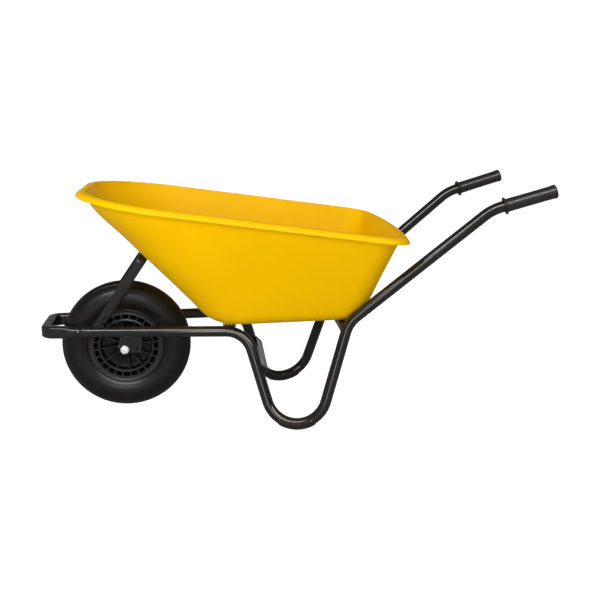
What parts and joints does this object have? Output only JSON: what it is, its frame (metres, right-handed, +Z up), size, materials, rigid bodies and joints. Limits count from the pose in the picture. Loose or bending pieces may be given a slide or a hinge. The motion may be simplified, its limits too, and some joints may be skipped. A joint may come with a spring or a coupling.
{
  "type": "wheelbarrow",
  "caption": "Single-wheel builder's wheelbarrow: deep yellow moulded tray on a black bent-tube frame, with an air-filled tyre on a spoked plastic rim and black grips.",
  "frame": {"origin": "centre of the bounding box in x and y, at the height of the ground that the tyre and the two foot shoes stand on", "axes": "+X from the wheel to the handles, +Y to the right of a person between the handles who faces the wheel, +Z up"},
  "size_m": [1.4702, 0.72, 0.7357],
  "materials": {
    "tray_yellow": "satin moulded",
    "frame_black": "gloss powder coat",
    "grip_black": "satin",
    "tyre_rubber": "smooth satin",
    "tube_rubber": "matte",
    "rim_black": "satin",
    "zinc_steel": "bright zinc plate",
    "bush_grey": "satin"
  },
  "bodies": {
    "chassis": {"frame_tube_left": "frame_black", "frame_tube_right": "frame_black", "front_bumper": "frame_black", "front_strut": "frame_black", "axle_bracket_left": "frame_black", "axle_bracket_right": "frame_black", "leg_brace": "frame_black", "tray_support_front": "frame_black", "tray_support_rear": "frame_black", "foot_shoe_left": "frame_black", "foot_shoe_right": "frame_black", "handle_grip_left": "grip_black", "handle_grip_right": "grip_black", "tray": "tray_yellow", "tray_bolt_1": "zinc_steel", "tray_washer_1": "zinc_steel", "tray_nut_1": "zinc_steel", "tray_bolt_2": "zinc_steel", "tray_washer_2": "zinc_steel", "tray_nut_2": "zinc_steel", "tray_bolt_3": "zinc_steel", "tray_washer_3": "zinc_steel", "tray_nut_3": "zinc_steel", "tray_bolt_4": "zinc_steel", "tray_washer_4": "zinc_steel", "tray_nut_4": "zinc_steel", "tray_bolt_5": "zinc_steel", "tray_washer_5": "zinc_steel", "tray_nut_5": "zinc_steel", "tray_bolt_6": "zinc_steel", "tray_washer_6": "zinc_steel", "tray_nut_6": "zinc_steel", "axle": "zinc_steel", "axle_spacer_left": "zinc_steel", "axle_spacer_right": "zinc_steel", "axle_washer_left": "zinc_steel", "axle_washer_right": "zinc_steel", "axle_cap_left": "zinc_steel", "axle_cap_right": "zinc_steel"},
    "wheel": {"tyre": "tyre_rubber", "inner_tube": "tube_rubber", "valve_cap": "tube_rubber", "rim": "rim_black", "hub_bush_left": "bush_grey", "hub_bush_right": "bush_grey"}
  },
  "joints": [
    {"name": "wheel_spin", "type": "hinge", "parent": "chassis", "child": "wheel", "pos_m": [-0.4887, 0, 0.195], "axis": [0, 1, 0], "continuous": true}
  ]
}
